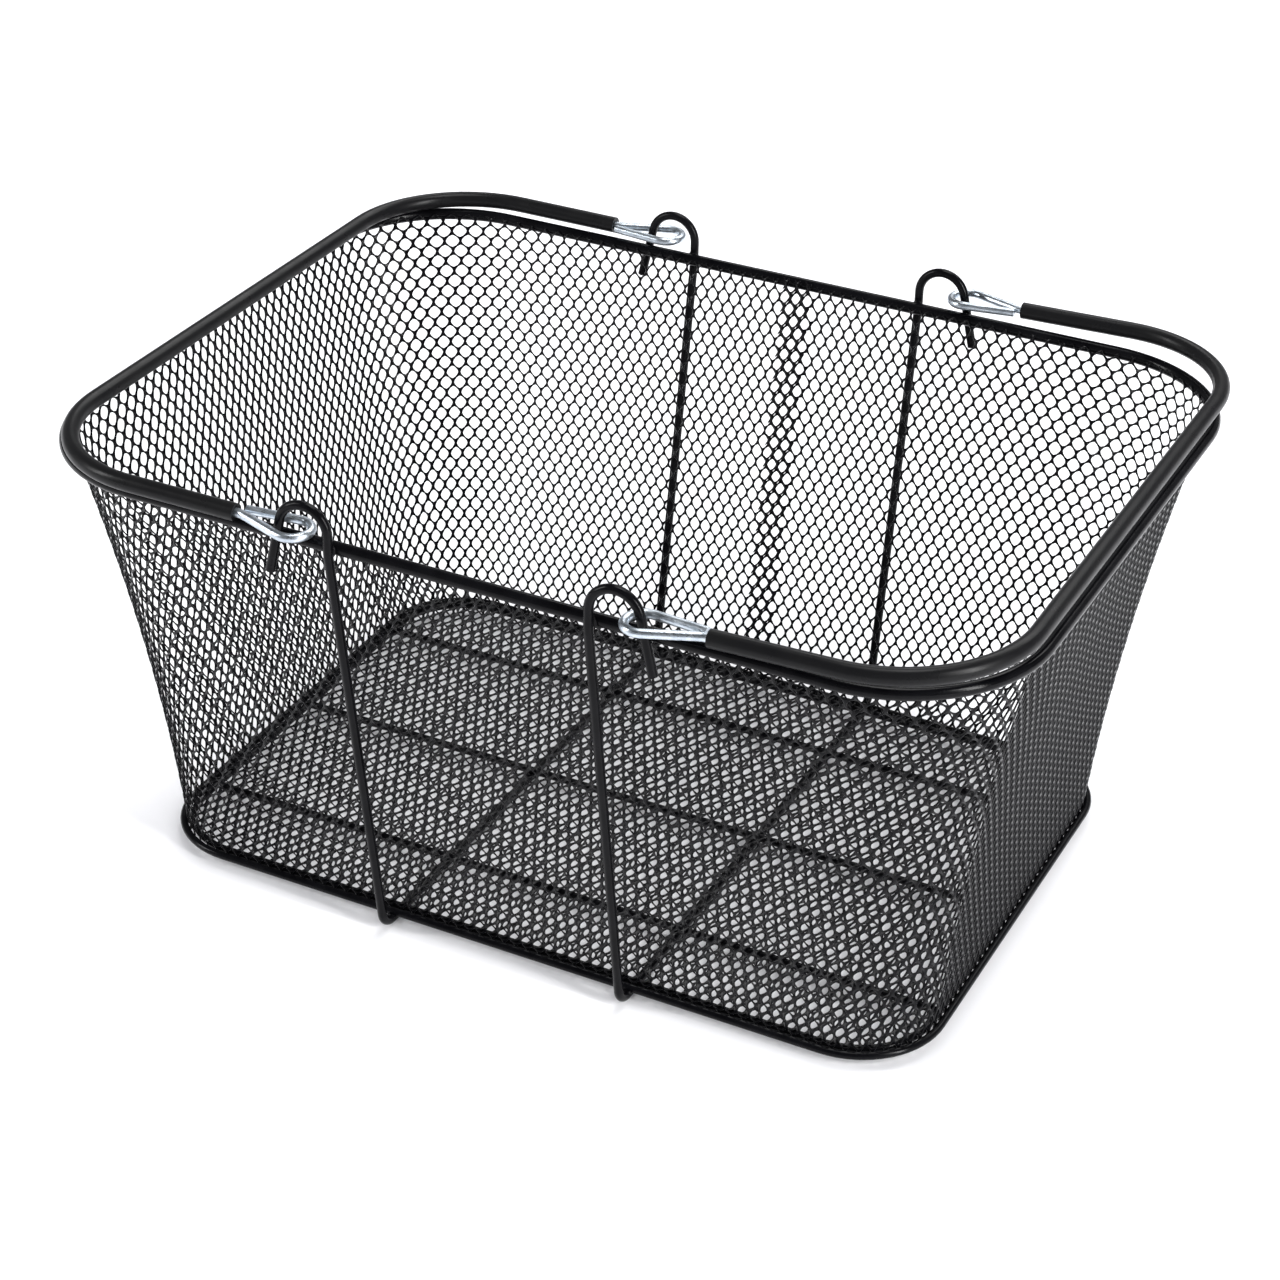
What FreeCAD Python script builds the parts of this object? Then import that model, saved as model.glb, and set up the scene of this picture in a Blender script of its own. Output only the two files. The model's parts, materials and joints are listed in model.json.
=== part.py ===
"""Black wire-and-mesh shopping basket with two folding bail handles.

Frame: +Z up, X along the long side, Y along the short side. The origin is on the surface
that the basket stands on, under the middle of its base. All sizes are in millimetres.
"""
import FreeCAD, Part
import math
import os

Vec = FreeCAD.Vector

# Wire diameters, coating included
RIM_DIA = 5.5
RING_DIA = 3.4
FRAME_DIA = 4.0
FLOOR_WIRE_DIA = 3.5
HANDLE_DIA = 3.8

# Tapered mesh body, measured to the centrelines of the rim wire and of the base ring
RIM_LENGTH = 430.0
RIM_WIDTH = 316.0
RIM_CORNER = 61.0
RING_LENGTH = 365.0
RING_WIDTH = 249.5
RING_CORNER = 38.0
BODY_HEIGHT = 196.0
END_BOW = 7.4            # how much narrower the ends are at half height than a straight taper
CORNER_BOW = 4.5         # how much the corner radius grows at half height
MESH_THICKNESS = 1.0
MESH_GAP = 0.1           # play between the wall mesh and the wires round it
MESH_LAP = 1.5           # how far the wall mesh runs past the middle of the rim and ring

# Cross frames: one wire each, hook - upright - under the floor - upright - hook
UPRIGHT_X = 57.0
ARCH_RADIUS = 11.0
ARCH_RISE = 6.9          # arch centre above the middle of the rim wire
HOOK_FLARE = 13.0        # degrees that the short leg leans away from its upright
HOOK_DROP = 15.0         # end of the short leg below the middle of the rim wire
FOOT_OVERHANG = 6.75     # bend of the foot outside the base ring
FOOT_RADIUS = 8.0
RIM_BEND_RADIUS = 25.0
FLOOR_WIRE_PITCH = 78.5

# Bail handles: plan measured from the outer tip of the wire eyes
HANDLE_LENGTH = 143.0    # eye tip to the middle of the grip
HANDLE_CORNER = 56.0
EYE_RADIUS = 7.5
EYE_OFFSET = 0.8
EYE_LENGTH = 33.5        # eye tip to where the strands meet
STRAND_GAP = 0.2
EYE_BEND_RADIUS = 8.0
SLEEVE_START = 36.0
SLEEVE_DIA = 7.4
SLEEVE_BORE = 4.4
RIGHT_TIP_X = 71.0       # the right handle is pulled out on its hooks
RIGHT_LIFT = 1.8         # degrees that it is caught above the rim
LEFT_TIP_X = 63.0        # the left one is pushed in on its hooks
LEFT_LIFT = 0.0          # and lies on the rim

# Levels and lines worked out from the sizes above
FRAME_Z = FRAME_DIA / 2
RING_Z = FRAME_DIA + RING_DIA / 2
INNER_INSET = RING_DIA + MESH_THICKNESS + 2 * MESH_GAP
FLOOR_WIRE_Z = FRAME_DIA + FLOOR_WIRE_DIA / 2
FLOOR_MESH_Z = FRAME_DIA + FLOOR_WIRE_DIA
RIM_Z = RING_Z + BODY_HEIGHT
ARCH_Z = RIM_Z + ARCH_RISE
HOOK_Y = RIM_WIDTH / 2 + RIM_DIA / 2 + FRAME_DIA / 2
PIVOT_X = UPRIGHT_X + ARCH_RADIUS
WALL_SECTIONS = 6


def rounded_path(points, radii):
    """Wire through the points, with each inner corner turned into a tangent arc."""
    edges = []
    start = points[0]
    for before, corner, after, radius in zip(points, points[1:], points[2:], radii):
        to_before = (before - corner).normalize()
        to_after = (after - corner).normalize()
        half = to_before.getAngle(to_after) / 2
        reach = radius / math.tan(half)
        arc_start = corner + to_before * reach
        arc_end = corner + to_after * reach
        bisector = (to_before + to_after).normalize()
        arc_middle = corner + bisector * (radius / math.sin(half) - radius)
        if (arc_start - start).Length > 1e-3:
            edges.append(Part.makeLine(start, arc_start))
        edges.append(Part.Arc(arc_start, arc_middle, arc_end).toShape())
        start = arc_end
    edges.append(Part.makeLine(start, points[-1]))
    return Part.Wire(edges)


def round_bar(path, diameter):
    """Round wire of the diameter, swept along an open or closed path."""
    first = path.OrderedEdges[0]
    start = first.valueAt(first.FirstParameter)
    direction = first.tangentAt(first.FirstParameter)
    profile = Part.Wire([Part.makeCircle(diameter / 2, start, direction)])
    return path.makePipeShell([profile], True, False)


def rounded_rectangle(length, width, radius, z):
    """Closed wire round the Z axis, starting in the middle of a long side."""
    x, y = length / 2, width / 2
    corner_points = [Vec(x, -y, z), Vec(x, y, z), Vec(-x, y, z), Vec(-x, -y, z)]
    points = [Vec(0, -y, z)] + corner_points + [Vec(0, -y, z)]
    return rounded_path(points, [radius] * 4)


def wall_section(height, inset):
    """Outline of the wall at a height above the base ring, inset from the wires' centrelines."""
    share = height / BODY_HEIGHT
    bow = 4 * share * (1 - share)
    length = RING_LENGTH + (RIM_LENGTH - RING_LENGTH) * share - END_BOW * bow
    width = RING_WIDTH + (RIM_WIDTH - RING_WIDTH) * share
    radius = RING_CORNER + (RIM_CORNER - RING_CORNER) * share + CORNER_BOW * bow
    return rounded_rectangle(length - 2 * inset, width - 2 * inset, radius - inset, RING_Z + height)


def wall_solid(extra_inset):
    """Solid bounded by the wall surface, which lies inside the ring and the rim."""
    sections = []
    for index in range(WALL_SECTIONS):
        share = index / (WALL_SECTIONS - 1)
        height = -MESH_LAP + (BODY_HEIGHT + 2 * MESH_LAP) * share
        wire_inset = (RING_DIA + (RIM_DIA - RING_DIA) * share) / 2
        sections.append(wall_section(height, wire_inset + MESH_GAP + extra_inset))
    return Part.makeLoft(sections, True, False)


def wall_mesh():
    return wall_solid(0).cut(wall_solid(MESH_THICKNESS))


def floor_mesh():
    inset = RING_DIA / 2 + MESH_THICKNESS + 0.3
    outline = rounded_rectangle(RING_LENGTH - 2 * inset, RING_WIDTH - 2 * inset,
                                RING_CORNER - inset, FLOOR_MESH_Z)
    return Part.Face(outline).extrude(Vec(0, 0, MESH_THICKNESS))


def rim_wire():
    return round_bar(rounded_rectangle(RIM_LENGTH, RIM_WIDTH, RIM_CORNER, RIM_Z), RIM_DIA)


def base_ring():
    return round_bar(rounded_rectangle(RING_LENGTH, RING_WIDTH, RING_CORNER, RING_Z), RING_DIA)


def inner_ring():
    """Second ring, which clamps the foot of the wall mesh against the base ring."""
    outline = rounded_rectangle(RING_LENGTH - 2 * INNER_INSET, RING_WIDTH - 2 * INNER_INSET,
                                RING_CORNER - INNER_INSET, RING_Z)
    return round_bar(outline, RING_DIA)


def half_frame(side, end):
    """Corner points of half a cross frame, from the foot up to the end of the hook."""
    flare = math.radians(HOOK_FLARE)
    top_z = ARCH_Z + ARCH_RADIUS
    top_run = ARCH_RADIUS * (1 + math.tan(math.pi / 4 - flare / 2))
    leg_fall = top_z - (RIM_Z - HOOK_DROP)
    leg_x = UPRIGHT_X + top_run + leg_fall * math.tan(flare)
    foot_y = RING_WIDTH / 2 + FOOT_OVERHANG
    return [Vec(side * UPRIGHT_X, end * foot_y, FRAME_Z),
            Vec(side * UPRIGHT_X, end * HOOK_Y, RIM_Z - FRAME_DIA / 2),
            Vec(side * UPRIGHT_X, end * HOOK_Y, top_z),
            Vec(side * (UPRIGHT_X + top_run), end * HOOK_Y, top_z),
            Vec(side * leg_x, end * HOOK_Y, top_z - leg_fall)]


def cross_frame(side):
    front = half_frame(side, -1)
    back = half_frame(side, 1)
    radii = [FOOT_RADIUS, RIM_BEND_RADIUS, ARCH_RADIUS, ARCH_RADIUS]
    return round_bar(rounded_path(front[::-1] + back, radii[::-1] + radii), FRAME_DIA)


def floor_wire(y):
    """Wire that rests on the cross frames and ends at the inside of the inner ring."""
    length = RING_LENGTH - 2 * INNER_INSET - RING_DIA - 2 * MESH_GAP
    start = Vec(-length / 2, y, FLOOR_WIRE_Z)
    return Part.makeCylinder(FLOOR_WIRE_DIA / 2, length, start, Vec(1, 0, 0))


def eye_corner(u, v, turn):
    """Where the tangent from (u, v) to the eye's round end meets the line across its tip."""
    tip_u = HANDLE_DIA / 2
    centre_u = tip_u + EYE_RADIUS
    slope = math.atan2(EYE_OFFSET - v, u - centre_u)
    opening = math.asin(EYE_RADIUS / math.hypot(u - centre_u, EYE_OFFSET - v))
    return tip_u, v + (u - tip_u) * math.tan(slope + turn * opening)


def eye_points():
    """Plan of one wire eye, from the free tail to the arm: distance from the tip, outward offset."""
    tail = (EYE_LENGTH, -HANDLE_DIA - STRAND_GAP)
    arm = (EYE_LENGTH, 0.0)
    return [tail, eye_corner(*tail, -1), eye_corner(*arm, 1), arm]


def handle_point(side, tip_x, lift, end, u, v):
    """Point of a handle's plan, turned up by the lift about the middle of the hooks' arches."""
    run = tip_x + u - PIVOT_X
    angle = math.radians(lift)
    x = PIVOT_X + run * math.cos(angle)
    return Vec(side * x, end * (HOOK_Y + v), ARCH_Z + run * math.sin(angle))


def handle_wire(side, tip_x, lift):
    eye_radius = EYE_RADIUS - 0.01
    place = (side, tip_x, lift)
    ends = [[handle_point(*place, end, u, v) for u, v in eye_points()] for end in (-1, 1)]
    grip = [handle_point(*place, end, HANDLE_LENGTH, 0) for end in (-1, 1)]
    points = ends[0] + grip + ends[1][::-1]
    radii = [eye_radius, eye_radius, EYE_BEND_RADIUS, HANDLE_CORNER]
    return round_bar(rounded_path(points, radii + radii[::-1]), HANDLE_DIA)


def handle_sleeve(side, tip_x, lift):
    plan = [(-1, SLEEVE_START), (-1, HANDLE_LENGTH), (1, HANDLE_LENGTH), (1, SLEEVE_START)]
    points = [handle_point(side, tip_x, lift, end, u, 0) for end, u in plan]
    path = rounded_path(points, [HANDLE_CORNER] * 2)
    return round_bar(path, SLEEVE_DIA).cut(round_bar(path, SLEEVE_BORE))


def build_nodes():
    nodes = {
        "rim_wire": rim_wire(),
        "base_ring": base_ring(),
        "inner_ring": inner_ring(),
        "wall_mesh": wall_mesh(),
        "floor_mesh": floor_mesh(),
        "cross_frame_left": cross_frame(-1),
        "cross_frame_right": cross_frame(1),
        "floor_wire_front": floor_wire(-FLOOR_WIRE_PITCH),
        "floor_wire_middle": floor_wire(0),
        "floor_wire_back": floor_wire(FLOOR_WIRE_PITCH),
    }
    handles = {"left": (-1, LEFT_TIP_X, LEFT_LIFT), "right": (1, RIGHT_TIP_X, RIGHT_LIFT)}
    for name, place in handles.items():
        nodes["handle_wire_" + name] = handle_wire(*place)
        nodes["handle_sleeve_" + name] = handle_sleeve(*place)
    return nodes


os.makedirs("parts", exist_ok=True)
for node_name, shape in build_nodes().items():
    shape.exportStep("parts/" + node_name + ".step")
    print(node_name, shape.ShapeType, len(shape.Solids), shape.isValid(), round(shape.Volume, 1))
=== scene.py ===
"""Black wire-and-mesh shopping basket with two sleeved bail handles.

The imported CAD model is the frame. This script adds the expanded metal, the welds and the
surface quality of every material. All sizes are in metres.
"""

import json
import math

import bmesh
import bpy
import numpy as np
from mathutils import Matrix, Vector


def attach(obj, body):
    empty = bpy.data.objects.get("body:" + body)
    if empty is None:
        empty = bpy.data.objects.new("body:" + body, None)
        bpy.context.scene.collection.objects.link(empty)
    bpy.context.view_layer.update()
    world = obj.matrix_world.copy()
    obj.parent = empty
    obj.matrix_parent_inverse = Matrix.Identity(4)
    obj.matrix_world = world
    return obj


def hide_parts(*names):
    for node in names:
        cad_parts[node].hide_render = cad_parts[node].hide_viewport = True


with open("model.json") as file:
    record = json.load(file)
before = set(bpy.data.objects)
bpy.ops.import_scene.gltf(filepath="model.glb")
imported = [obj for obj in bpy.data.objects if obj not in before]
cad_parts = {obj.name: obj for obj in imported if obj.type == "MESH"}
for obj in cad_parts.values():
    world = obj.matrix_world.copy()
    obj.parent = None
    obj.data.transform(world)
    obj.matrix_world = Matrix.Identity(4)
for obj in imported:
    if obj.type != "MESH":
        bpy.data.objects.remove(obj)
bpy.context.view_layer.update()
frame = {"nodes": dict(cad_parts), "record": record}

MM = 0.001

# Camera: in front of the basket, to its right and above
CAMERA_AZIMUTH = 26.24
CAMERA_ELEVATION = 31.01
CAMERA_ROLL = 1.09
CAMERA_DISTANCE = 1.3107
CAMERA_TARGET = Vector((-0.0006, -0.0020, 0.0932))
CAMERA_LENS = 83.53
CAMERA_NEAR, CAMERA_FAR = 0.01, 50.0

# Light: the room's radiance, and its walls and ceiling as the basket reflects them
ROOM_COLOR = (0.96, 0.965, 1.0, 1.0)
ROOM_RADIANCE = 0.8
WALL_RADIANCE, CEILING_RADIANCE = 0.28, 0.05
WALL_TOP, CEILING_START = 0.3, 0.75             # sines of their angles above the horizon
# Each softbox's name, place, aim, size and radiance
SOFTBOXES = (
    ("overhead", (0.0, 0.3, 2.4), (0.0, 0.0, 0.0), (0.9, 0.9), 8.0),
    ("back_box", (0.0, 2.4, 2.4), (0.0, 2.0, 0.0), (3.0, 1.2), 5.0),
    ("left_box", (-1.9, -1.1, 1.1), (0.0, 0.0, 0.1), (0.25, 1.3), 22.0),
    ("right_box", (1.7, -0.5, 0.9), (0.0, 0.0, 0.1), (0.28, 1.3), 32.0),
)

# Tapered body, as the CAD part has it, to the middles of the rim wire and of the base ring
RIM_LENGTH, RIM_WIDTH, RIM_CORNER = 430.0 * MM, 316.0 * MM, 61.0 * MM
RING_LENGTH, RING_WIDTH, RING_CORNER = 365.0 * MM, 249.5 * MM, 38.0 * MM
RIM_RADIUS, RING_RADIUS = 2.75 * MM, 1.7 * MM
INNER_INSET = 4.6 * MM                          # middle of the inner ring, from the base ring's
BODY_HEIGHT = 196.0 * MM
END_BOW, CORNER_BOW = 7.4 * MM, 4.5 * MM
RING_Z = 5.7 * MM
FLOOR_MESH_Z = 8.0 * MM
UPRIGHT_X = 57.0 * MM
RIM_CONTACT_Y = 160.75 * MM
WIRE_CONTACT_Z = 4.0 * MM
FLOOR_WIRE_PITCH = 78.5 * MM

# Expanded metal: openings with their long way upright on the walls
MESH_RISE = 10.8 * MM
BOND_HEIGHT = 2.6 * MM
BOND_SHOULDER = 0.35
WALL_BOND_WIDTH, WALL_BOND_TILT = 1.2 * MM, 0.5 * MM
FLOOR_BOND_WIDTH, FLOOR_BOND_TILT = 2.2 * MM, -0.2 * MM
SHEET_THICKNESS = 0.62 * MM
WALL_COLUMNS = 205
WALL_PANELS = 8
LOWEST_ROW = -10.7 * MM                         # first row, below the middle of the base ring
ROWS_ABOVE_RIM = 8.0 * MM
FOOT_LAP, RIM_LAP = 0.6, 0.5                    # sheet past the middles of the wires, in radii
CORNER_STRETCH_SPREAD = 52.0 * MM
SEAM_COLUMNS = 2
SEAM_STEP = 0.9 * MM                            # how far the lapped end stands inward
SEAM_RAMP = 4.0 * MM
SEAM_SHIFT = 0.16                               # rise of the lapped end, in mesh rises
STRAND_STUB = 0.25                              # strands left at the strip's ends, in pitches
FLOOR_PANELS = 3
FLOOR_PLAY = 1.2 * MM
CORNER_CUTS = 8

# Spot welds: half sizes along X, Y and Z, and how uneven they are
RIM_WELD = (2.5 * MM, 1.3 * MM, 2.9 * MM)
RING_WELD = (2.5 * MM, 2.1 * MM, 1.1 * MM)
FLOOR_WELD = (2.6 * MM, 2.5 * MM, 1.1 * MM)
WELD_SEED = 7
WELD_WAVES, WELD_WAVE_RATE, WELD_UNEVENNESS = 5, 2.5, 0.07
WELD_SIDES, WELD_ROWS = 24, 13

# Surface detail: sizes of the lumps, and depths of the bumps
COAT_PATCH = 14.0 * MM
COAT_DEPTH = 0.03 * MM
VINYL_PATCH, VINYL_SHADE, VINYL_GRAIN = 9.0 * MM, 25.0 * MM, 0.6 * MM
VINYL_DRAW, VINYL_DEPTH = 18.0, 0.02 * MM
ZINC_CLOUD, ZINC_LINE = 3.5 * MM, 0.35 * MM
ZINC_DRAW, ZINC_DEPTH = 40.0, 0.03 * MM
NOISE_LOW, NOISE_HIGH = 0.3, 0.7                # values that most of a noise lies between

FLOOR_HALF = 6.0
FLOOR_GRAIN = 4.0 * MM


# ---------------------------------------------------------------- meshes

def mesh_object(name, points, faces):
    """Smooth-shaded object from an array of points and an array of equal-sided faces."""
    mesh = bpy.data.meshes.new(name)
    sides = faces.shape[1]
    mesh.vertices.add(len(points))
    mesh.vertices.foreach_set("co", points.astype(np.float32).ravel())
    mesh.loops.add(faces.size)
    mesh.loops.foreach_set("vertex_index", faces.astype(np.int32).ravel())
    mesh.polygons.add(len(faces))
    mesh.polygons.foreach_set("loop_start", np.arange(0, faces.size, sides, dtype=np.int32))
    mesh.update(calc_edges=True)
    mesh.validate()
    mesh.polygons.foreach_set("use_smooth", np.ones(len(faces), bool))
    piece = bpy.data.objects.new(name, mesh)
    bpy.context.scene.collection.objects.link(piece)
    return piece


def flat_lattice(columns, rows_of_column, bond_width, bond_tilt):
    """Expanded metal in a plane: u along the short way, v along the long way, n the tilt.

    rows_of_column gives, for each half row over a half column, its height and how much the
    sheet is later stretched along u there. Every bond is a hexagon, and two strands leave its
    upper half for the bonds of the next half row.
    """
    bonds = {}
    verts = []
    faces = []
    shoulder, tip = BOND_HEIGHT * BOND_SHOULDER, BOND_HEIGHT * 0.5
    for column in columns:
        u = column * BASE_PITCH / 2
        for row, (v, stretch) in enumerate(rows_of_column(column)):
            if (column + row) % 2:
                continue
            bonds[column, row] = len(verts)
            half_width = bond_width / 2 / stretch
            verts += [(u, v + tip, 0.0),
                      (u - half_width, v + shoulder, -bond_tilt),
                      (u - half_width, v - shoulder, -bond_tilt),
                      (u, v - tip, 0.0),
                      (u + half_width, v - shoulder, bond_tilt),
                      (u + half_width, v + shoulder, bond_tilt)]
    for (column, row), base in bonds.items():
        faces.append(tuple(base + corner for corner in range(6)))
        right = bonds.get((column + 1, row + 1))
        if right is not None:
            faces.append((base, base + 5, right + 3, right + 2))
        left = bonds.get((column - 1, row + 1))
        if left is not None:
            faces.append((base + 1, base, left + 4, left + 3))
    return verts, faces


def read_values(items, attribute, width, kind):
    """One attribute of all items as an array, with width values a row where there are more."""
    values = np.empty(len(items) * width, kind)
    items.foreach_get(attribute, values)
    return values.reshape(-1, width) if width > 1 else values


def summed(values, index, size):
    """Sums the rows of values that have the same index."""
    return np.stack([np.bincount(index, column, size) for column in values.T], axis=1)


def rounded(mesh):
    """Points and quads of a closed mesh after one Catmull-Clark step."""
    points = read_values(mesh.vertices, "co", 3, np.float32).astype(float)
    edge_ends = read_values(mesh.edges, "vertices", 2, np.int32)
    corner_vertex = read_values(mesh.loops, "vertex_index", 1, np.int32)
    corner_edge = read_values(mesh.loops, "edge_index", 1, np.int32)
    starts = read_values(mesh.polygons, "loop_start", 1, np.int32)
    sides = read_values(mesh.polygons, "loop_total", 1, np.int32)
    corner_face = np.repeat(np.arange(len(sides)), sides)
    previous = np.arange(len(corner_vertex)) - 1
    previous[starts] = starts + sides - 1
    face_points = summed(points[corner_vertex], corner_face, len(sides)) / sides[:, None]
    middles = points[edge_ends].mean(axis=1)
    beside = summed(face_points[corner_face], corner_edge, len(edge_ends))
    edge_points = middles / 2 + beside / 4
    valence = np.bincount(corner_vertex, minlength=len(points))[:, None]
    near_faces = summed(face_points[corner_face], corner_vertex, len(points)) / valence
    near_edges = summed(middles[corner_edge], corner_vertex, len(points)) / valence
    vertex_points = (near_faces + 2 * near_edges + (valence - 3) * points) / valence
    first_edge, first_face = len(points), len(points) + len(edge_ends)
    quads = np.stack([corner_vertex, first_edge + corner_edge, first_face + corner_face,
                      first_edge + corner_edge[previous]], axis=1)
    return np.concatenate([vertex_points, edge_points, face_points]), quads


def rounded_sheet(verts, faces, cuts):
    """Points and quads of a flat lattice after it is cut, thickened and rounded."""
    mesh = bpy.data.meshes.new("lattice")
    mesh.from_pydata(verts, [], faces)
    work = bmesh.new()
    work.from_mesh(mesh)
    for point, outward in cuts:
        geometry = work.verts[:] + work.edges[:] + work.faces[:]
        bmesh.ops.bisect_plane(work, geom=geometry, plane_co=point, plane_no=outward,
                               dist=1e-7, clear_outer=True)
    loose = [vert for vert in work.verts if not vert.link_faces]
    bmesh.ops.delete(work, geom=loose, context="VERTS")
    work.to_mesh(mesh)
    work.free()
    sheet = bpy.data.objects.new("lattice", mesh)
    bpy.context.scene.collection.objects.link(sheet)
    solid = sheet.modifiers.new("thickness", "SOLIDIFY")
    solid.thickness = SHEET_THICKNESS
    solid.offset = 0.0
    depsgraph = bpy.context.evaluated_depsgraph_get()
    thick = bpy.data.meshes.new_from_object(sheet.evaluated_get(depsgraph))
    points, quads = rounded(thick)
    bpy.data.objects.remove(sheet)
    bpy.data.meshes.remove(mesh)
    bpy.data.meshes.remove(thick)
    return points, quads


def split_sheet(name, count, points, quads, split_by):
    """Makes objects name_1 ... name_count, each with the whole quads in its share of split_by."""
    middles = split_by[quads].mean(axis=1)
    limits = np.linspace(middles.min(), middles.max(), count + 1)
    limits[-1] += 1.0
    pieces = []
    for index in range(count):
        chosen = quads[(middles >= limits[index]) & (middles < limits[index + 1])]
        used, faces = np.unique(chosen, return_inverse=True)
        pieces.append(mesh_object("%s_%d" % (name, index + 1), points[used],
                                  faces.reshape(chosen.shape)))
    return pieces


# ---------------------------------------------------------------- the tapered wall

def section_sizes(height):
    """Length, width and corner radius of the wall's middle surface at heights over the ring."""
    share = height / BODY_HEIGHT
    bow = 4 * share * (1 - share)
    inset = RING_RADIUS + (RIM_RADIUS - RING_RADIUS) * share + SHEET_THICKNESS * 0.6
    length = RING_LENGTH + (RIM_LENGTH - RING_LENGTH) * share - END_BOW * bow - 2 * inset
    width = RING_WIDTH + (RIM_WIDTH - RING_WIDTH) * share - 2 * inset
    corner = RING_CORNER + (RIM_CORNER - RING_CORNER) * share + CORNER_BOW * bow - inset
    return length, width, corner


def quarter_arc(height):
    """Arc length from the middle of a long side to the middle of a short side."""
    length, width, corner = section_sizes(height)
    return (length + width) / 2 - 2 * corner + corner * math.pi / 2


BASE_QUARTER = quarter_arc(0.0)
BASE_PITCH = 4 * BASE_QUARTER / WALL_COLUMNS
SAMPLE_U = np.linspace(0, BASE_QUARTER, 400)


def corner_growth():
    """Share of the corner's extra width at each sampled column, and its running sum."""
    length, width, corner = section_sizes(0.0)
    middle = length / 2 - corner + corner * math.pi / 4
    shape = np.exp(-((SAMPLE_U - middle) / CORNER_STRETCH_SPREAD) ** 2 / 2)
    steps = (shape[1:] + shape[:-1]) / 2 * (SAMPLE_U[1] - SAMPLE_U[0])
    total = steps.sum()
    return shape / total, np.concatenate([[0.0], np.cumsum(steps)]) / total


GROWTH_DENSITY, GROWTH_SUM = corner_growth()


def stretch_at(u, height):
    """How much wider a cell is than on the base ring: the corners take up the taper."""
    near = np.mod(u, 2 * BASE_QUARTER)
    near = np.minimum(near, 2 * BASE_QUARTER - near)
    extra = quarter_arc(height) - BASE_QUARTER
    return 1 + extra * np.interp(near, SAMPLE_U, GROWTH_DENSITY)


def wall_points(points):
    """Wraps (u, v, n) round the wall: u from the middle of the back towards -X, v upward."""
    u, v, n = points.T
    length, width, corner = section_sizes(v)
    quarter = quarter_arc(v)
    lap = np.mod(u, 4 * BASE_QUARTER)
    second_half = lap > 2 * BASE_QUARTER
    lap = np.where(second_half, lap - 2 * BASE_QUARTER, lap)
    past_end = lap > BASE_QUARTER
    near = np.where(past_end, 2 * BASE_QUARTER - lap, lap)
    arc = near + (quarter - BASE_QUARTER) * np.interp(near, SAMPLE_U, GROWTH_SUM)
    long_flat, short_flat = length / 2 - corner, width / 2 - corner
    angle = np.clip((arc - long_flat) / corner, 0, math.pi / 2)
    after_bend = np.clip(arc - long_flat - corner * math.pi / 2, 0, None)
    x = np.clip(arc, 0, long_flat) + (corner + n) * np.sin(angle)
    y = short_flat - after_bend + (corner + n) * np.cos(angle)
    y = np.where(past_end, -y, y)
    turn = np.where(second_half, -1.0, 1.0)
    return np.stack([-x * turn, y * turn, RING_Z + v], axis=1)


def wall_rows(column):
    """Heights of the half rows over a half column: wider cells are lower."""
    u = column * BASE_PITCH / 2
    strand = math.hypot(BASE_PITCH, MESH_RISE) / 2
    height = LOWEST_ROW
    rows = []
    while height < BODY_HEIGHT + ROWS_ABOVE_RIM:
        stretch = float(stretch_at(u, min(max(height, 0.0), BODY_HEIGHT)))
        rows.append((height, stretch))
        height += math.sqrt(strand ** 2 - (BASE_PITCH * stretch / 2) ** 2)
    return rows


def wall_mesh():
    """The wall strip, lapped over its own start in the seam at the middle of the back."""
    end_column = 2 * (WALL_COLUMNS + SEAM_COLUMNS)
    stub = STRAND_STUB * BASE_PITCH
    verts, faces = flat_lattice(range(-1, end_column + 2), wall_rows,
                                WALL_BOND_WIDTH, WALL_BOND_TILT)
    cuts = [((0, -RING_RADIUS * FOOT_LAP, 0), (0, -1, 0)),
            ((0, BODY_HEIGHT + RIM_RADIUS * RIM_LAP, 0), (0, 1, 0)),
            ((-stub, 0, 0), (-1, 0, 0)),
            ((end_column * BASE_PITCH / 2 + stub, 0, 0), (1, 0, 0))]
    points, quads = rounded_sheet(verts, faces, cuts)
    seam = WALL_COLUMNS * BASE_PITCH
    lap = np.clip((points[:, 0] - seam + SEAM_RAMP) / SEAM_RAMP, 0, 1)
    split_by = points[:, 0].copy()
    points[:, 2] -= lap * SEAM_STEP
    points[:, 1] += lap * MESH_RISE * SEAM_SHIFT
    points[:, 0] -= BASE_PITCH * SEAM_COLUMNS / 2
    return split_sheet("wall_mesh_panel", WALL_PANELS, wall_points(points), quads, split_by)


# ---------------------------------------------------------------- the floor mesh

def floor_cuts(length, width, corner):
    """Cutting planes of the floor's outline: its four sides and its rounded corners."""
    cuts = []
    for x, y in ((1, 0), (-1, 0), (0, 1), (0, -1)):
        cuts.append(((x * length / 2, y * width / 2, 0), (x, y, 0)))
    for side in (-1, 1):
        for end in (-1, 1):
            for step in range(1, CORNER_CUTS):
                angle = step * math.pi / 2 / CORNER_CUTS
                x, y = math.cos(angle), math.sin(angle)
                point = (side * (length / 2 - corner + corner * x),
                         end * (width / 2 - corner + corner * y), 0)
                cuts.append((point, (side * x, end * y, 0)))
    return cuts


def floor_mesh():
    """The flat sheet that rests on the floor wires and on the inner ring."""
    length, width, corner = section_sizes(0.0)
    length, width = length - FLOOR_PLAY, width - FLOOR_PLAY
    half_columns = math.ceil(length / BASE_PITCH) + 2
    half_rows = math.ceil(width / MESH_RISE) + 2

    def rows(column):
        return [(row * MESH_RISE / 2, 1.0) for row in range(-half_rows, half_rows + 1)]

    verts, faces = flat_lattice(range(-half_columns, half_columns + 1), rows,
                                FLOOR_BOND_WIDTH, FLOOR_BOND_TILT)
    points, quads = rounded_sheet(verts, faces, floor_cuts(length, width, corner))
    points[:, 2] += FLOOR_MESH_Z
    return split_sheet("floor_mesh_panel", FLOOR_PANELS, points, quads, points[:, 0])


# ---------------------------------------------------------------- welds

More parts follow.
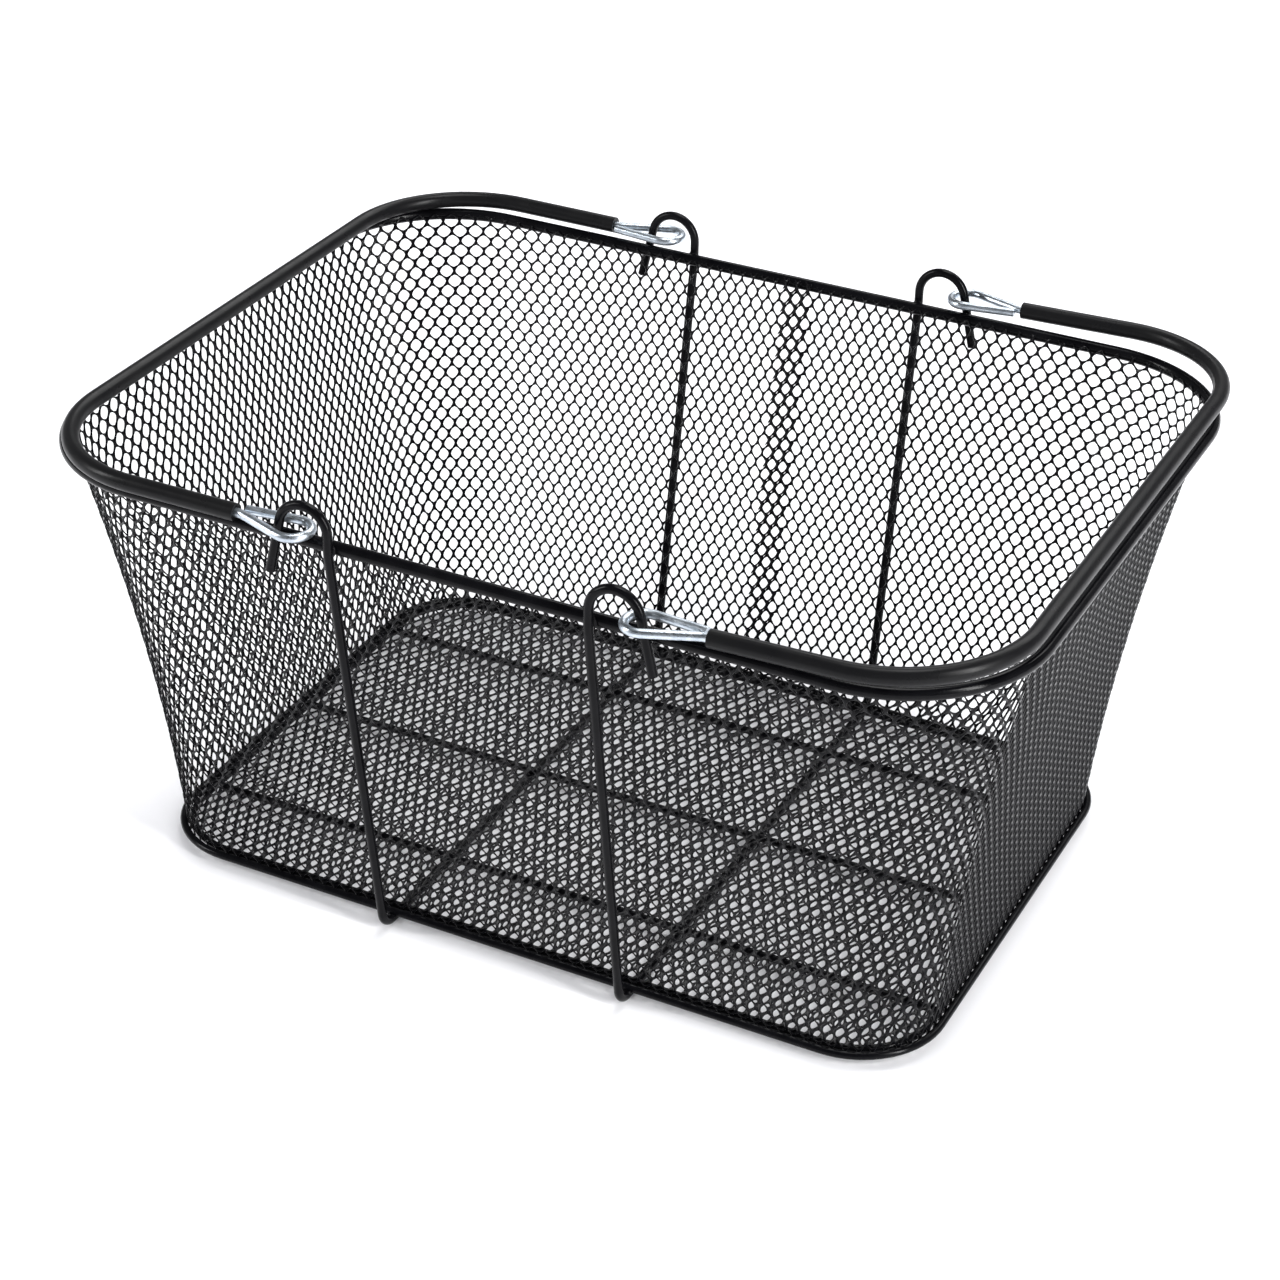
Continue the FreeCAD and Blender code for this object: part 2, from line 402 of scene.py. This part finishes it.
def weld_places():
    """Middle and half sizes of each spot weld between two wires."""
    places = []
    for x in (-UPRIGHT_X, UPRIGHT_X):
        for y in (-RIM_CONTACT_Y, RIM_CONTACT_Y):
            places.append(((x, y, RING_Z + BODY_HEIGHT), RIM_WELD))
        for y in (RING_WIDTH / 2, RING_WIDTH / 2 - INNER_INSET):
            places.append(((x, -y, WIRE_CONTACT_Z), RING_WELD))
            places.append(((x, y, WIRE_CONTACT_Z), RING_WELD))
        for y in (-FLOOR_WIRE_PITCH, 0.0, FLOOR_WIRE_PITCH):
            places.append(((x, y, WIRE_CONTACT_Z), FLOOR_WELD))
    return places


def unit_ball():
    """Points on a ball of radius 1, and its triangles."""
    turn = np.linspace(0, 2 * math.pi, WELD_SIDES, endpoint=False)
    tip = np.linspace(0, math.pi, WELD_ROWS + 2)[1:-1]
    turns, tips = np.meshgrid(turn, tip)
    points = np.stack([np.sin(tips) * np.cos(turns), np.sin(tips) * np.sin(turns),
                       np.cos(tips)], axis=2).reshape(-1, 3)
    points = np.concatenate([points, [(0, 0, 1), (0, 0, -1)]])
    top, bottom = len(points) - 2, len(points) - 1
    around = np.arange(WELD_SIDES)
    after = (around + 1) % WELD_SIDES
    rows = np.arange(WELD_ROWS - 1)[:, None] * WELD_SIDES
    sides = np.stack([rows + around, rows + around + WELD_SIDES, rows + after + WELD_SIDES,
                      rows + after], axis=2).reshape(-1, 4)
    last = (WELD_ROWS - 1) * WELD_SIDES
    top_fan = np.stack([np.full(WELD_SIDES, top), around, after], axis=1)
    bottom_fan = np.stack([np.full(WELD_SIDES, bottom), last + after, last + around], axis=1)
    return points, np.concatenate([sides[:, [0, 1, 2]], sides[:, [0, 2, 3]],
                                   top_fan, bottom_fan])


def spot_welds():
    """One mesh of small uneven lumps of metal squeezed out between the wires."""
    random = np.random.default_rng(WELD_SEED)
    ball, triangles = unit_ball()
    points, faces = [], []
    for index, (middle, half_sizes) in enumerate(weld_places()):
        waves = random.normal(size=(WELD_WAVES, 3)) * WELD_WAVE_RATE
        swell = np.sin(ball @ waves.T + random.uniform(0, 6, WELD_WAVES)).sum(axis=1)
        lumps = 1 + WELD_UNEVENNESS * swell
        points.append(np.array(middle) + ball * lumps[:, None] * np.array(half_sizes))
        faces.append(triangles + index * len(ball))
    return mesh_object("spot_welds", np.concatenate(points), np.concatenate(faces))


# ---------------------------------------------------------------- materials

def shader_material(name, color, metallic=0.0):
    """A new material with its node tree and its Principled shader."""
    material = bpy.data.materials.new(name)
    material.use_nodes = True
    tree = material.node_tree
    shader = tree.nodes["Principled BSDF"]
    shader.inputs["Base Color"].default_value = (*color, 1.0)
    shader.inputs["Metallic"].default_value = metallic
    return material, tree, shader


def noise(tree, size, detail, stretch=(1.0, 1.0, 1.0)):
    """Noise whose lumps are about the size, drawn out along an axis where stretch is above 1."""
    place = tree.nodes.new("ShaderNodeTexCoord")
    mapping = tree.nodes.new("ShaderNodeMapping")
    mapping.inputs["Scale"].default_value = [1.0 / ratio for ratio in stretch]
    texture = tree.nodes.new("ShaderNodeTexNoise")
    texture.inputs["Scale"].default_value = 1.0 / size
    texture.inputs["Detail"].default_value = detail
    tree.links.new(place.outputs["Object"], mapping.inputs["Vector"])
    tree.links.new(mapping.outputs["Vector"], texture.inputs["Vector"])
    return texture.outputs["Fac"]


def spread(tree, value, low, high):
    """Maps the middle of a noise to the range from low to high."""
    ramp = tree.nodes.new("ShaderNodeMapRange")
    ramp.inputs["From Min"].default_value = NOISE_LOW
    ramp.inputs["From Max"].default_value = NOISE_HIGH
    ramp.inputs["To Min"].default_value = low
    ramp.inputs["To Max"].default_value = high
    tree.links.new(value, ramp.inputs["Value"])
    return ramp.outputs["Result"]


def add_bump(tree, shader, height, depth):
    """Bumps of the given depth, in metres, from a height between 0 and 1."""
    bump = tree.nodes.new("ShaderNodeBump")
    bump.inputs["Distance"].default_value = depth
    tree.links.new(height, bump.inputs["Height"])
    tree.links.new(bump.outputs["Normal"], shader.inputs["Normal"])


def tint(tree, shader, value, dark, light):
    """Base colour from dark where the value is 0 to light where it is 1."""
    mix = tree.nodes.new("ShaderNodeMix")
    mix.data_type = "RGBA"
    mix.inputs["A"].default_value = (*dark, 1.0)
    mix.inputs["B"].default_value = (*light, 1.0)
    tree.links.new(value, mix.inputs["Factor"])
    tree.links.new(mix.outputs["Result"], shader.inputs["Base Color"])


def powder_coat(name, grain, roughness, gloss):
    """Semi-gloss black coat with orange peel and patches that are a little duller."""
    material, tree, shader = shader_material(name, (0.002, 0.002, 0.003))
    shader.inputs["Specular IOR Level"].default_value = gloss
    patches = noise(tree, COAT_PATCH, 3.0)
    tree.links.new(spread(tree, patches, roughness - 0.05, roughness + 0.07),
                   shader.inputs["Roughness"])
    tint(tree, shader, spread(tree, patches, 0.0, 1.0), (0.0015, 0.0015, 0.002),
         (0.004, 0.004, 0.005))
    add_bump(tree, shader, noise(tree, grain, 2.0), COAT_DEPTH)
    return material


def vinyl():
    """Satin black sleeve, with the long faint lines of extrusion and a fine grain."""
    material, tree, shader = shader_material("black vinyl", (0.006, 0.006, 0.006))
    shader.inputs["Specular IOR Level"].default_value = 0.13
    patches = noise(tree, VINYL_PATCH, 4.0)
    shades = noise(tree, VINYL_SHADE, 2.0)
    lines = noise(tree, VINYL_GRAIN, 3.0, (VINYL_DRAW, VINYL_DRAW, 1.0))
    tree.links.new(spread(tree, patches, 0.26, 0.36), shader.inputs["Roughness"])
    tint(tree, shader, shades, (0.004, 0.004, 0.005), (0.009, 0.009, 0.009))
    add_bump(tree, shader, lines, VINYL_DEPTH)
    return material


def zinc():
    """Bright bluish zinc, with drawing lines along the wire and cloudy plating."""
    material, tree, shader = shader_material("zinc plate", (0.62, 0.68, 0.76), 1.0)
    clouds = noise(tree, ZINC_CLOUD, 4.0)
    lines = noise(tree, ZINC_LINE, 4.0, (ZINC_DRAW, 1.0, 1.0))
    tint(tree, shader, spread(tree, clouds, 0.0, 1.0), (0.46, 0.52, 0.58), (0.7, 0.76, 0.82))
    tree.links.new(spread(tree, lines, 0.22, 0.42), shader.inputs["Roughness"])
    add_bump(tree, shader, lines, ZINC_DEPTH)
    return material


SLOT_MATERIALS = {
    "black_powder_coat": powder_coat("black powder coat", 0.9 * MM, 0.19, 0.11),
    "black_mesh": powder_coat("black powder coat on mesh", 0.7 * MM, 0.17, 0.13),
    "vinyl_sleeve": vinyl(),
    "zinc_wire": zinc(),
}


def dress(piece, slot):
    """Gives the piece the one material of its slot."""
    piece.data.materials.clear()
    piece.data.materials.append(SLOT_MATERIALS[slot])


def add_to_basket(piece, slot):
    """Dresses a piece that belongs to the basket itself, not to a handle."""
    dress(piece, slot)
    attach(piece, "basket")


for subpart in frame["record"]["subparts"]:
    dress(frame["nodes"][subpart["node"]], subpart["material_slot"])
for piece in wall_mesh():
    add_to_basket(piece, "black_mesh")
    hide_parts("wall_mesh")
for piece in floor_mesh():
    add_to_basket(piece, "black_mesh")
    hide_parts("floor_mesh")
add_to_basket(spot_welds(), "black_powder_coat")


# ---------------------------------------------------------------- floor, light and camera

def make_floor():
    """A pale matt floor with a faint grain."""
    corners = np.array([(-1, -1, 0), (1, -1, 0), (1, 1, 0), (-1, 1, 0)])
    points = corners * FLOOR_HALF
    floor = mesh_object("floor", points, np.array([(0, 1, 2, 3)]))
    material, tree, shader = shader_material("pale floor", (0.87, 0.87, 0.88))
    grain = noise(tree, FLOOR_GRAIN, 3.0)
    tree.links.new(spread(tree, grain, 0.6, 0.75), shader.inputs["Roughness"])
    tint(tree, shader, grain, (0.87, 0.87, 0.885), (0.885, 0.885, 0.895))
    floor.data.materials.append(material)


def make_softbox(name, place, aim, size, radiance):
    """Rectangular area light that faces the aim point."""
    data = bpy.data.lights.new(name, "AREA")
    data.shape = "RECTANGLE"
    data.size, data.size_y = size
    data.energy = radiance * math.pi * size[0] * size[1]
    light = bpy.data.objects.new(name, data)
    light.location = place
    light.rotation_mode = "QUATERNION"
    light.rotation_quaternion = (Vector(aim) - Vector(place)).to_track_quat("-Z", "Y")
    bpy.context.scene.collection.objects.link(light)


def make_world():
    """A pale room, dimmer in reflections and at its ceiling, so that black wire stays black."""
    world = bpy.data.worlds.new("studio")
    world.use_nodes = True
    tree = world.node_tree
    background = tree.nodes["Background"]
    background.inputs["Color"].default_value = ROOM_COLOR
    direction = tree.nodes.new("ShaderNodeTexCoord")
    split = tree.nodes.new("ShaderNodeSeparateXYZ")
    height = tree.nodes.new("ShaderNodeMapRange")
    height.interpolation_type = "SMOOTHSTEP"
    height.inputs["From Min"].default_value = WALL_TOP
    height.inputs["From Max"].default_value = CEILING_START
    height.inputs["To Min"].default_value = WALL_RADIANCE
    height.inputs["To Max"].default_value = CEILING_RADIANCE
    tree.links.new(direction.outputs["Generated"], split.inputs["Vector"])
    tree.links.new(split.outputs["Z"], height.inputs["Value"])
    rays = tree.nodes.new("ShaderNodeLightPath")
    strength = tree.nodes.new("ShaderNodeMix")
    strength.inputs["A"].default_value = ROOM_RADIANCE
    tree.links.new(rays.outputs["Is Glossy Ray"], strength.inputs["Factor"])
    tree.links.new(height.outputs["Result"], strength.inputs["B"])
    tree.links.new(strength.outputs["Result"], background.inputs["Strength"])
    bpy.context.scene.world = world


def make_camera():
    """The scene's camera, aimed at its target and rolled a little to its right."""
    azimuth, elevation = math.radians(CAMERA_AZIMUTH), math.radians(CAMERA_ELEVATION)
    back = Vector((math.sin(azimuth) * math.cos(elevation),
                   -math.cos(azimuth) * math.cos(elevation), math.sin(elevation)))
    right = Vector((math.cos(azimuth), math.sin(azimuth), 0.0))
    up = back.cross(right)
    roll = math.radians(CAMERA_ROLL)
    rolled_right = right * math.cos(roll) + up * math.sin(roll)
    rolled_up = up * math.cos(roll) - right * math.sin(roll)
    turn = Matrix((rolled_right, rolled_up, back)).transposed()
    data = bpy.data.cameras.new("camera")
    data.lens = CAMERA_LENS
    data.clip_start, data.clip_end = CAMERA_NEAR, CAMERA_FAR
    camera = bpy.data.objects.new("camera", data)
    camera.matrix_world = (Matrix.Translation(CAMERA_TARGET + back * CAMERA_DISTANCE)
                           @ turn.to_4x4())
    bpy.context.scene.collection.objects.link(camera)
    bpy.context.scene.camera = camera


make_world()
make_floor()
make_camera()
for softbox in SOFTBOXES:
    make_softbox(*softbox)
bpy.context.scene.view_settings.view_transform = "Standard"
